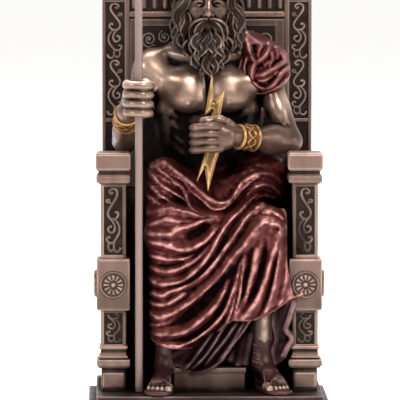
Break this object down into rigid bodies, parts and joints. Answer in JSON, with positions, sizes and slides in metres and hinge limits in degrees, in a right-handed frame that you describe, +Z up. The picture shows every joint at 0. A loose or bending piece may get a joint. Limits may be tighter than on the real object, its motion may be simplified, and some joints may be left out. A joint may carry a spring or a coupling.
{
  "type": "statue",
  "caption": "Tabletop statue of Zeus seated on a high-backed carved throne, holding an upright staff and a zigzag thunderbolt, with folded drapery over shoulder and lap.",
  "frame": {"origin": "centre of the base's flat underside", "axes": "+Z up; -Y is the front, the way the figure faces; +X is the figure's left"},
  "size_m": [0.138, 0.125, 0.264],
  "materials": {
    "throne_bronze": "cast resin with a cold bronze coat, warm pinkish brown, dark patina in the recesses",
    "figure_bronze": "cast resin with a brown bronze coat on skin, hair and beard, metallic burgundy on the drapery and gold on the cuffs",
    "staff_bronze": "pale pinkish bronze coat, satin",
    "bolt_gold": "amber gold coat, satin"
  },
  "bodies": {
    "root": {"throne": "throne_bronze", "zeus_figure": "figure_bronze", "staff": "staff_bronze", "thunderbolt": "bolt_gold"}
  },
  "joints": []
}
